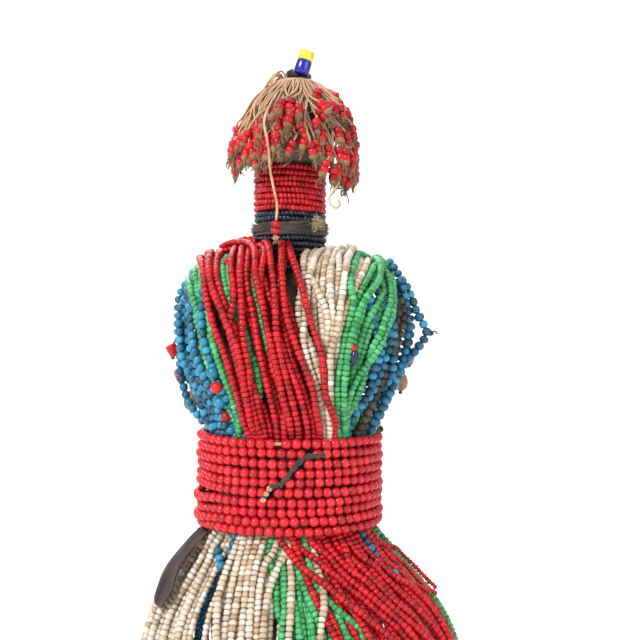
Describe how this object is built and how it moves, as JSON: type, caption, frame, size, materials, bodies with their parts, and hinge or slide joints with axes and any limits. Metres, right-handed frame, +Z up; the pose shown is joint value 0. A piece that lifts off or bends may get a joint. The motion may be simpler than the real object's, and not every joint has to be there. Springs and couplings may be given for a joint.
{
  "type": "namji doll",
  "caption": "Carved wooden doll on a low base, with strings of coloured beads over its shoulders, a beaded belt, skirt, neck collar and fringe.",
  "frame": {"origin": "middle of the low base's underside, on the surface that the doll stands on", "axes": "+Z up; the doll's face is towards -Y and its back towards +Y; +X is the doll's left"},
  "size_m": [0.146, 0.1279, 0.345],
  "materials": {
    "wood": "dark carved wood, oiled and rubbed",
    "red_bead": "opaque red glass beads on strings",
    "belt_bead": "opaque lighter red round glass beads",
    "navy_bead": "opaque dark navy glass beads",
    "blue_bead": "opaque greenish blue glass beads",
    "green_bead": "opaque green glass beads",
    "white_bead": "opaque cream glass beads, stained brown",
    "fibre": "tan twisted plant fibre cords",
    "binding": "worn brown thread binding",
    "leather": "dark old leather",
    "resin": "black resin or wax",
    "royal_bead": "glossy royal blue glass",
    "yellow_bead": "glossy yellow glass",
    "nut": "orange brown nut shell",
    "dark_cord": "dark twisted cord"
  },
  "bodies": {
    "root": {"figure": "wood", "neck_wrap_navy": "navy_bead", "neck_binding": "binding", "neck_ring_navy": "navy_bead", "neck_collar_red": "red_bead", "belt_red": "belt_bead", "belt_tie": "dark_cord", "sash_green_left": "green_bead", "sash_red": "red_bead", "sash_white": "white_bead", "sash_green_right": "green_bead", "side_strings_left": "blue_bead", "side_strings_right": "blue_bead", "skirt_white_left": "white_bead", "skirt_white_back": "white_bead", "skirt_green_back": "green_bead", "skirt_red_back": "red_bead", "skirt_green_right": "green_bead", "skirt_blue_front_right": "blue_bead", "skirt_red_front": "red_bead", "skirt_white_front": "white_bead", "skirt_blue_front_left": "blue_bead", "leather_strap": "leather", "fringe_cords": "fibre", "fringe_beads": "red_bead", "topknot_knob": "resin", "topknot_blue_back": "royal_bead", "topknot_yellow_back": "yellow_bead", "topknot_blue_front": "royal_bead", "topknot_yellow_front": "yellow_bead", "pendant_red_upper_left": "red_bead", "pendant_red_lower_left": "red_bead", "pendant_nut_left": "nut", "pendant_nut_right": "nut", "pendant_red_right": "red_bead", "loose_string_right": "blue_bead"}
  },
  "joints": []
}
